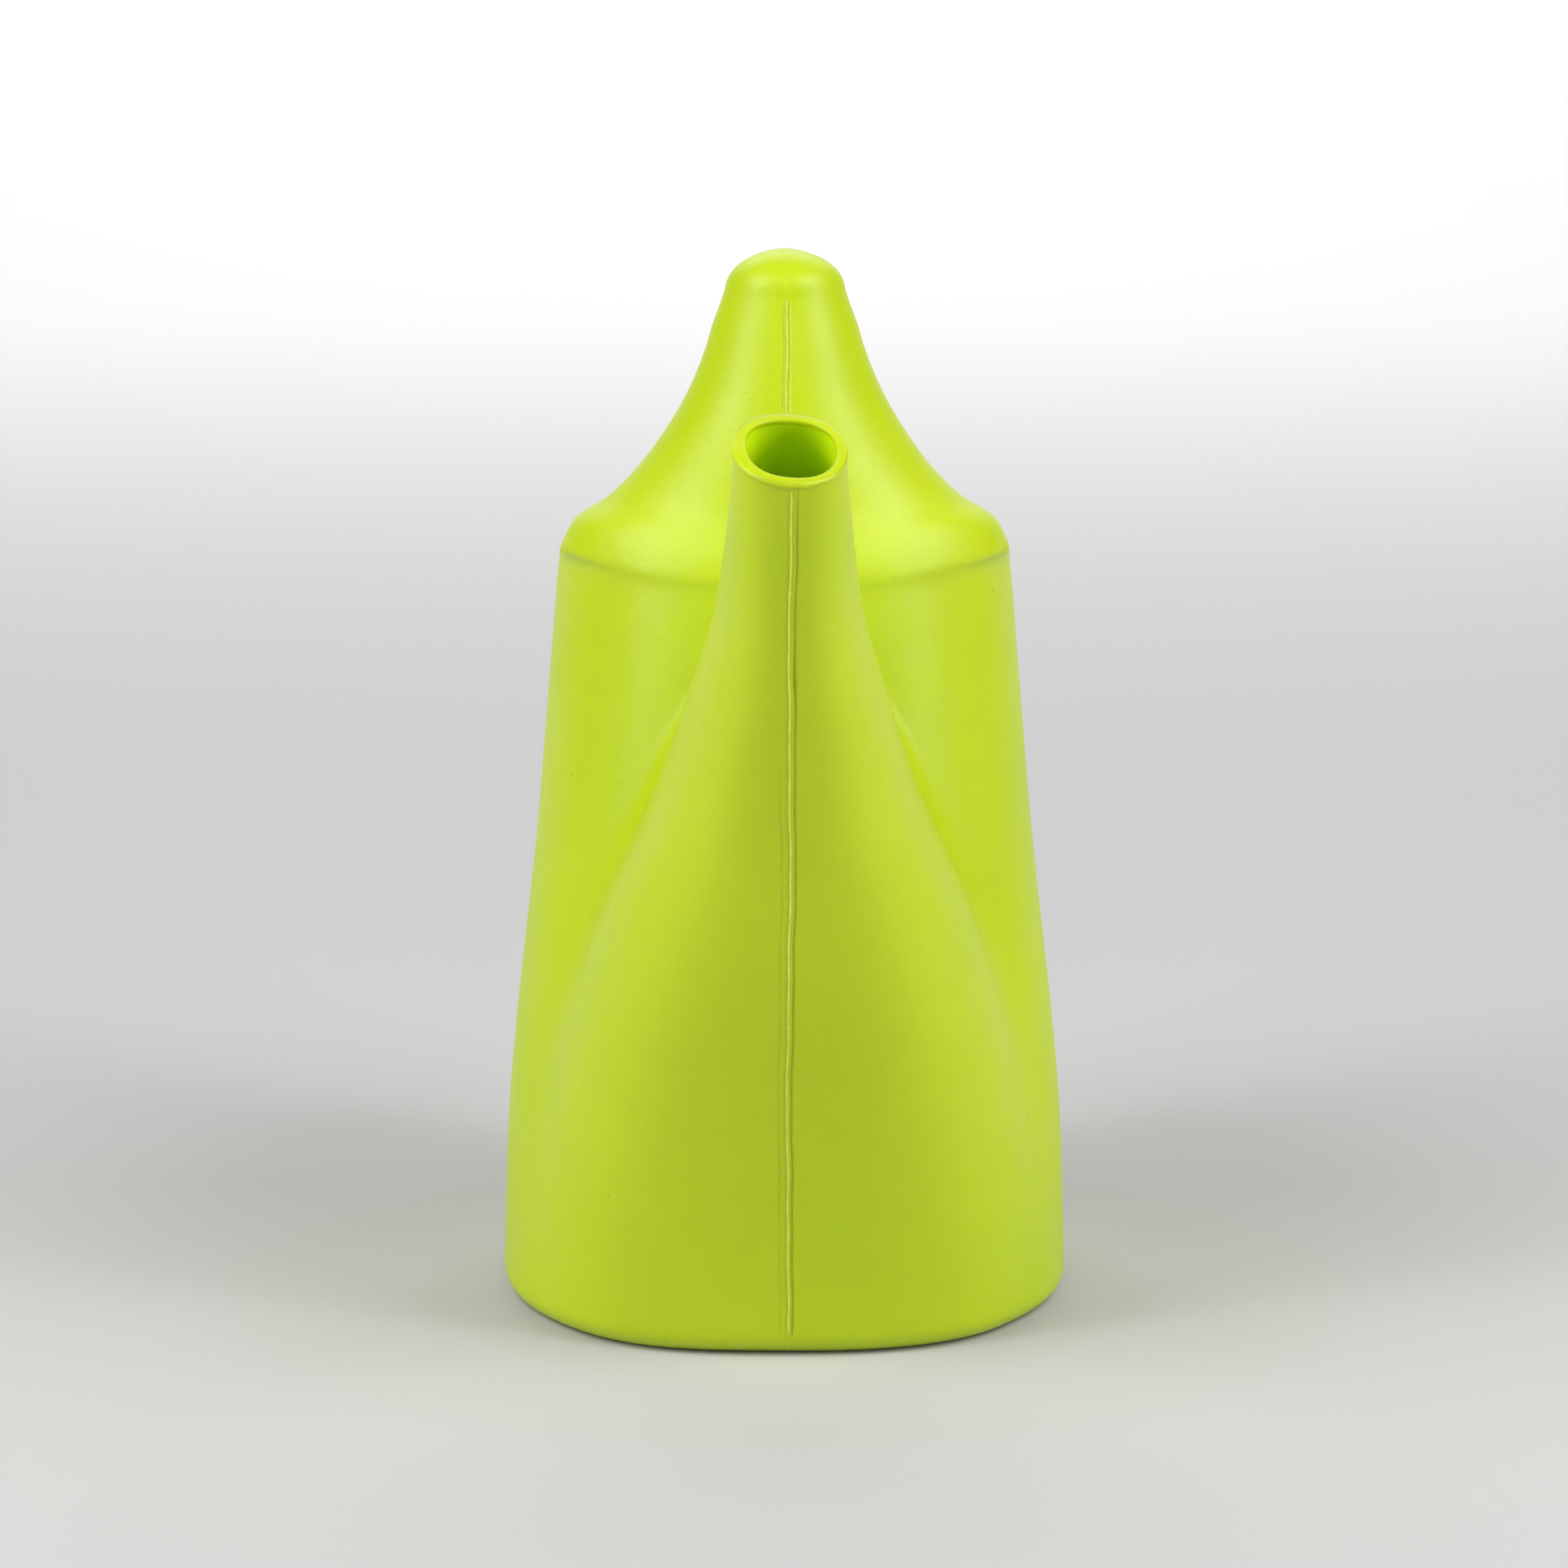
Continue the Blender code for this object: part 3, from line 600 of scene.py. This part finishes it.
# Inside faces take the second material slot, the lighter inner green that is a painted glow.
for face in inside_part.faces:
    face.material_index = 1
joined = bpy.data.meshes.new("inside_trimmed")
inside_part.to_mesh(joined)
inside_part.free()
shell.from_mesh(joined)
for label, (centre, normal, reach) in openings.items():
    rim = [edge for edge in shell.edges
           if edge.is_boundary and all(near(v, centre, normal, reach) for v in edge.verts)]
    bmesh.ops.triangle_fill(shell, use_beauty=True, edges=rim, normal=normal)
body_mesh = bpy.data.meshes.new("can_moulding")
shell.to_mesh(body_mesh)
shell.free()
body_mesh.shade_smooth()
moulding = bpy.data.objects.new("can_moulding", body_mesh)
bpy.context.scene.collection.objects.link(moulding)


def add_object(name, bm):
    bmesh.ops.recalc_face_normals(bm, faces=bm.faces)
    mesh = bpy.data.meshes.new(name)
    bm.to_mesh(mesh)
    bm.free()
    mesh.shade_smooth()
    made = bpy.data.objects.new(name, mesh)
    bpy.context.scene.collection.objects.link(made)
    return made


def rim_ring(name, label, shape, turns, around=28):
    """The knife-trimmed edge of an opening: a ring with rounded corners over the cut end of the wall."""
    centre, normal, _ = openings[label]
    outside, side, up = loops[label, "out"]
    within, _, _ = loops[label, "in"]
    bm = bmesh.new()
    rings = []
    for i in range(turns):
        angle = -math.pi + 2 * math.pi * i / turns
        bulge, shrink, lift = shape(angle)
        outer = np.interp(angle, outside[:, 0], outside[:, 1], period=2 * math.pi) + bulge
        inner = np.interp(angle, within[:, 0], within[:, 1], period=2 * math.pi) - shrink
        ring = []
        for k in range(around):
            turn = 2 * math.pi * k / around
            across = math.copysign(abs(math.cos(turn)) ** RIM_SQUARENESS, math.cos(turn))
            along = math.copysign(abs(math.sin(turn)) ** RIM_SQUARENESS, math.sin(turn))
            radial = (outer + inner) / 2 + (outer - inner) / 2 * across
            height = RIM_DROP * (along - 1) / 2 + lift - RIM_FALL * (1 + across)
            point = centre + (side * math.cos(angle) + up * math.sin(angle)) * radial + normal * height
            ring.append(bm.verts.new(point))
        rings.append(ring)
    for i in range(turns):
        here, ahead = rings[i], rings[(i + 1) % turns]
        for k in range(around):
            j = (k + 1) % around
            bm.faces.new((here[k], ahead[k], ahead[j], here[j]))
    return add_object(name, bm)


def mouth_shape(angle):
    """Uneven overhang, inner edge and height of the cut round the mouth, with a fold at its left."""
    wave = 0.00008 * math.sin(3 * angle + 0.6) + 0.00004 * math.sin(7 * angle)
    left = math.exp(-((math.atan2(math.sin(angle + 2.80), math.cos(angle + 2.80))) / 0.42) ** 2)
    bulge = 0.00018 + wave + 0.00055 * left
    shrink = 0.00003 + 0.00022 * math.sin(angle / 2) ** 2
    return bulge, shrink, 0.00022 + 0.00010 * math.sin(2 * angle + 1) + 0.00025 * left


def filler_shape(angle):
    """Uneven overhang, inner edge and height of the cut round the filling opening."""
    wave = 0.00008 * math.sin(2 * angle + 0.3) + 0.00004 * math.sin(11 * angle)
    lift = 0.00020 + 0.00008 * math.sin(3 * angle) + 0.00004 * math.sin(8 * angle + 1)
    return 0.00025 + wave, 0.00004, lift


mouth_rim = rim_ring("spout_mouth_rim", "mouth", mouth_shape, turns=240)
filler_rim = rim_ring("filler_rim", "filler", filler_shape, turns=400)


def front_line(heights, start_y, rounds=12, step=0.0001, most=0.004):
    """The skin's front line at these heights, and its outward slope there, by Newton steps.

    Each step is limited, so the start has to lie close to the outer surface.
    """
    x, y = weld_wander(heights), start_y.copy()
    for _ in range(rounds):
        here = outer_field(x, y, heights)
        y = y - np.clip(here * step / (outer_field(x, y + step, heights) - here), -most, most)
    here = outer_field(x, y, heights)
    normal = np.stack([outer_field(x, y + step, heights) - here, outer_field(x, y, heights + step) - here], 1)
    return x, y, normal / np.hypot(normal[:, 0], normal[:, 1])[:, None]


def weld_bead(name, low, high, start_y, ends_at_mouth):
    """A thin raised line of squeezed-out plastic where the two mould halves closed."""
    heights = np.linspace(low, high, int((high - low) / BEAD_PITCH))
    x, y, normal = front_line(heights, start_y(heights))
    if ends_at_mouth:
        keep = above_mouth(x, y, heights) < -RIM_DROP
        heights, x, y, normal = heights[keep], x[keep], y[keep], normal[keep]
    rough = 1 + 0.9 * bump(heights, 0.094, 0.014)
    waves = np.sin(heights * 3100) + np.sin(heights * 5230 + 1) + np.sin(heights * 8710 + 2)
    jitter = BEAD_JITTER * rough * waves
    lower_end = np.clip((heights - heights[0]) / 0.0015, 0, 1)
    upper_end = np.clip((heights[-1] - heights) / 0.0012, 0, 1)
    taper = np.sqrt(lower_end * upper_end)
    width = (BEAD_WIDTH + 0.00003 * np.sin(heights * 870) + 0.5 * jitter) * taper
    height = (BEAD_HEIGHT + 0.00005 * np.sin(heights * 1310 + 2) + jitter) * taper
    bm = bmesh.new()
    rings = []
    for i in range(len(heights)):
        ring = []
        for turn in np.linspace(-2.0, 2.0, 9):
            across = x[i] + jitter[i] + width[i] * math.sin(turn)
            rise = height[i] * math.cos(turn)
            along = y[i] + TANK_Y + normal[i, 0] * rise
            ring.append(bm.verts.new((across, along, heights[i] + normal[i, 1] * rise)))
        rings.append(ring)
    for here, ahead in zip(rings, rings[1:]):
        for k in range(len(here)):
            j = (k + 1) % len(here)
            bm.faces.new((here[k], here[j], ahead[j], ahead[k]))
    bm.faces.new(rings[0][::-1])
    bm.faces.new(rings[-1])
    return add_object(name, bm)


def spout_start(heights):
    """Where the spout's front lies, near enough for the search to find the surface."""
    return -spout_front(heights / MOUTH_HEIGHT)


def hood_start(heights):
    """Where the hood's front lies, near enough for the search to find the surface."""
    return -HOOD_FORWARD - hood_front((heights - TANK_HEIGHT) / (HOOD_HEIGHT - HOOD_DOME))


front_bead = weld_bead("front_weld_bead", BEAD_START, MOUTH_HEIGHT, spout_start, ends_at_mouth=True)
hood_bead = weld_bead("hood_weld_bead", TANK_HEIGHT + 0.0030, TANK_HEIGHT + HOOD_HEIGHT - HOOD_DOME - 0.0010,
                      hood_start, ends_at_mouth=False)


# ---------------------------------------------------------------- material

def srgb(red, green, blue):
    """A colour given in display values of 0 to 255, as linear light."""
    linear = []
    for value in (red, green, blue):
        share = value / 255
        linear.append(share / 12.92 if share <= 0.04045 else ((share + 0.055) / 1.055) ** 2.4)
    return (*linear, 1.0)


class Nodes:
    """Short hand for adding and linking shader nodes."""

    def __init__(self, material):
        material.use_nodes = True
        self.tree = material.node_tree
        self.shader = self.tree.nodes["Principled BSDF"]

    def add(self, kind, inputs=None, **settings):
        node = self.tree.nodes.new(kind)
        for key, value in settings.items():
            setattr(node, key, value)
        for key, value in (inputs or {}).items():
            self.give(node.inputs[key], value)
        return node

    def give(self, socket, value):
        if isinstance(value, bpy.types.NodeSocket):
            self.tree.links.new(value, socket)
        else:
            socket.default_value = value

    def mix(self, amount, first, second, blend="MIX"):
        node = self.add("ShaderNodeMix", data_type="RGBA", blend_type=blend)
        self.give(node.inputs[0], amount)
        self.give(node.inputs[6], first)
        self.give(node.inputs[7], second)
        return node.outputs[2]

    def noise(self, scale, detail=2.0, rough=0.5, coords=None):
        node = self.add("ShaderNodeTexNoise", {"Scale": scale, "Detail": detail, "Roughness": rough})
        if coords is not None:
            self.give(node.inputs["Vector"], coords)
        return node.outputs["Fac"]

    def ramp(self, value, low, high, to_low=0.0, to_high=1.0):
        node = self.add("ShaderNodeMapRange", {"Value": value, "From Min": low, "From Max": high,
                                               "To Min": to_low, "To Max": to_high})
        return node.outputs["Result"]


def polyethylene(name, tint, shade, roughness, grain, depth):
    """Translucent lime-green polyethylene with a fine moulded grain, specks and light scuffs."""
    material = bpy.data.materials.new(name)
    nodes = Nodes(material)
    place = nodes.add("ShaderNodeTexCoord").outputs["Object"]
    slow = nodes.noise(22.0, 2.0, coords=place)
    clouds = nodes.noise(160.0, 3.0, coords=place)
    color = nodes.mix(nodes.ramp(slow, 0.35, 0.65), tint, shade)
    color = nodes.mix(nodes.ramp(clouds, 0.3, 0.7, 0.0, 0.07), color, srgb(205, 222, 40))
    speck = nodes.add("ShaderNodeTexVoronoi", {"Scale": 95.0, "Vector": place}, feature="F1")
    keep = nodes.ramp(nodes.noise(33.0, 0.0, coords=place), 0.60, 0.66)
    dots = nodes.add("ShaderNodeMath", operation="MULTIPLY")
    nodes.give(dots.inputs[0], nodes.ramp(speck.outputs["Distance"], 0.050, 0.030, 0.0, 0.55))
    nodes.give(dots.inputs[1], keep)
    color = nodes.mix(dots.outputs[0], color, srgb(110, 120, 30))
    height = nodes.add("ShaderNodeSeparateXYZ", {"Vector": place}).outputs["Z"]
    stretched = nodes.add("ShaderNodeMapping", {"Vector": place, "Scale": (1.0, 1.0, 0.25)}).outputs["Vector"]
    scratch = nodes.noise(900.0, 4.0, 0.65, coords=stretched)
    worn = nodes.add("ShaderNodeMath", operation="MULTIPLY")
    nodes.give(worn.inputs[0], nodes.ramp(height, 0.0035, 0.0, 0.0, 0.30))
    nodes.give(worn.inputs[1], nodes.ramp(scratch, 0.5, 0.62))
    color = nodes.mix(worn.outputs[0], color, srgb(222, 230, 150))
    nodes.give(nodes.shader.inputs["Base Color"], color)
    rough = nodes.ramp(nodes.noise(70.0, 3.0, coords=place), 0.3, 0.7, roughness - 0.035, roughness + 0.045)
    nodes.give(nodes.shader.inputs["Roughness"], rough)
    fine = nodes.noise(2300.0, 2.0, coords=place)
    peel = nodes.noise(620.0, 2.0, coords=place)
    fine_bump = nodes.add("ShaderNodeBump", {"Height": fine, "Distance": grain * 0.5, "Strength": 1.0})
    peel_bump = nodes.add("ShaderNodeBump", {"Height": peel, "Distance": grain, "Strength": 1.0,
                                             "Normal": fine_bump.outputs["Normal"]})
    nodes.give(nodes.shader.inputs["Normal"], peel_bump.outputs["Normal"])
    nodes.shader.inputs["IOR"].default_value = 1.50
    nodes.shader.inputs["Specular IOR Level"].default_value = 0.40
    nodes.shader.inputs["Subsurface Weight"].default_value = depth
    nodes.shader.inputs["Subsurface Radius"].default_value = (0.8, 1.0, 0.10)
    nodes.shader.inputs["Subsurface Scale"].default_value = 0.0030
    return material


skin_material = polyethylene("lime_polyethylene", srgb(184, 204, 6), srgb(179, 201, 4),
                             roughness=0.42, grain=0.000045, depth=0.35)
# The inner wall gets a much lighter green than the outer skin and no subsurface: a painted glow standing in
# for light that shines through the thin wall into the spout and tank.
inner_material_painted_glow = polyethylene("inner_polyethylene_painted_glow", srgb(214, 242, 3), srgb(209, 239, 2),
                              roughness=0.50, grain=0.00006, depth=0.0)
rim_material = polyethylene("trimmed_polyethylene", srgb(186, 204, 10), srgb(181, 201, 7),
                            roughness=0.36, grain=0.00003, depth=0.35)
# The bead's pale, whitish green is partly the squeezed plastic's own paler tone and partly a painted
# highlight along the ridge.
bead_material_with_painted_highlight = polyethylene("squeezed_polyethylene_painted_highlight", srgb(214, 226, 92), srgb(207, 221, 70),
                             roughness=0.28, grain=0.00002, depth=0.2)
body_mesh.materials.append(skin_material)
body_mesh.materials.append(inner_material_painted_glow)
mouth_rim.data.materials.append(rim_material)
filler_rim.data.materials.append(rim_material)
front_bead.data.materials.append(bead_material_with_painted_highlight)
hood_bead.data.materials.append(bead_material_with_painted_highlight)

for piece in (moulding, mouth_rim, filler_rim, front_bead, hood_bead):
    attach(piece, "root")
zones = ("base_pan", "tank_wall", "shoulder", "spout_root", "spout_tube", "hood",
         "handle_bridge", "handle_grip", "handle_foot")
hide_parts(*[f"{zone}_{side}" for zone in zones for side in ("left", "right")])
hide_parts("spout_lip")
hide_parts("filler_collar")
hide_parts("front_weld")
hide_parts("hood_weld")


# ---------------------------------------------------------------- stage, light and camera

FLOOR_REACH = 9.0
FLOOR_DROP = 0.0002
FLOOR_GREY = 0.50
BACKDROP_START = 2.0
BACKDROP_RADIUS = 1.0
BACKDROP_HEIGHT = 4.0


def floor_and_backdrop():
    """A pale floor that curves up into a backdrop on the far side of the can only."""
    bm = bmesh.new()
    profile = [(-FLOOR_REACH, 0.0), (BACKDROP_START, 0.0)]
    profile += [(BACKDROP_START + BACKDROP_RADIUS * math.sin(a), BACKDROP_RADIUS * (1 - math.cos(a)))
                for a in np.linspace(0.1, math.pi / 2, 14)]
    profile += [(BACKDROP_START + BACKDROP_RADIUS, BACKDROP_HEIGHT)]
    rows = [[bm.verts.new((x, y, z - FLOOR_DROP)) for x in (-FLOOR_REACH, FLOOR_REACH)] for y, z in profile]
    for lower, upper in zip(rows, rows[1:]):
        bm.faces.new((lower[0], lower[1], upper[1], upper[0]))
    mesh = bpy.data.meshes.new("studio_floor")
    bm.to_mesh(mesh)
    bm.free()
    mesh.shade_smooth()
    material = bpy.data.materials.new("studio_paper")
    material.use_nodes = True
    shader = material.node_tree.nodes["Principled BSDF"]
    shader.inputs["Base Color"].default_value = (FLOOR_GREY, FLOOR_GREY, FLOOR_GREY, 1.0)
    shader.inputs["Roughness"].default_value = 0.9
    mesh.materials.append(material)
    floor = bpy.data.objects.new("studio_floor", mesh)
    bpy.context.scene.collection.objects.link(floor)


def softbox(name, place, aim, size, power):
    light = bpy.data.lights.new(name, "AREA")
    light.shape = "RECTANGLE"
    light.size, light.size_y = size
    light.energy = power
    lamp = bpy.data.objects.new(name, light)
    lamp.location = place
    lamp.rotation_euler = (Vector(aim) - Vector(place)).to_track_quat("-Z", "Y").to_euler()
    lamp.visible_camera = False
    bpy.context.scene.collection.objects.link(lamp)


def white_surroundings(strength):
    world = bpy.data.worlds.new("studio_air")
    world.use_nodes = True
    world.node_tree.nodes["Background"].inputs["Color"].default_value = (1, 1, 1, 1)
    world.node_tree.nodes["Background"].inputs["Strength"].default_value = strength
    bpy.context.scene.world = world


SOFTBOX_DISTANCE = 1.6
middle = (0.0, 0.0, 0.12)


def softbox_pair(name, azimuth, elevation, size, power):
    """Two equal softboxes either side of the can, their angles counted from straight in front."""
    reach = SOFTBOX_DISTANCE * math.cos(math.radians(elevation))
    height = middle[2] + SOFTBOX_DISTANCE * math.sin(math.radians(elevation))
    across = reach * math.sin(math.radians(azimuth))
    ahead = -reach * math.cos(math.radians(azimuth))
    softbox(f"{name}_left", (-across, ahead, height), middle, size, power)
    softbox(f"{name}_right", (across, ahead, height), middle, size, power)


floor_and_backdrop()
white_surroundings(0.10)
softbox_pair("main", 58, 45, (1.0, 1.0), 18.0)
softbox_pair("edge", 57, 12, (0.22, 1.0), 8.5)
softbox("backdrop_light", (0.0, 2.1, 1.9), (0.0, 3.1, 0.1), (3.0, 1.2), 80)

camera_distance = 1.30
camera_height_angle = math.radians(11)
camera_side_angle = math.radians(-0.52)
camera_aim = Vector((-0.00025, 0.0002, 0.1202))
camera_data = bpy.data.cameras.new("camera")
camera_data.sensor_width = 36.0
camera_data.lens = 131.5
camera = bpy.data.objects.new("camera", camera_data)
away = Vector((math.sin(camera_side_angle) * math.cos(camera_height_angle),
               -math.cos(camera_side_angle) * math.cos(camera_height_angle),
               math.sin(camera_height_angle)))
camera.location = camera_aim + away * camera_distance
camera.rotation_euler = (-away).to_track_quat("-Z", "Y").to_euler()
bpy.context.scene.collection.objects.link(camera)
bpy.context.scene.camera = camera
bpy.context.scene.view_settings.view_transform = "Standard"
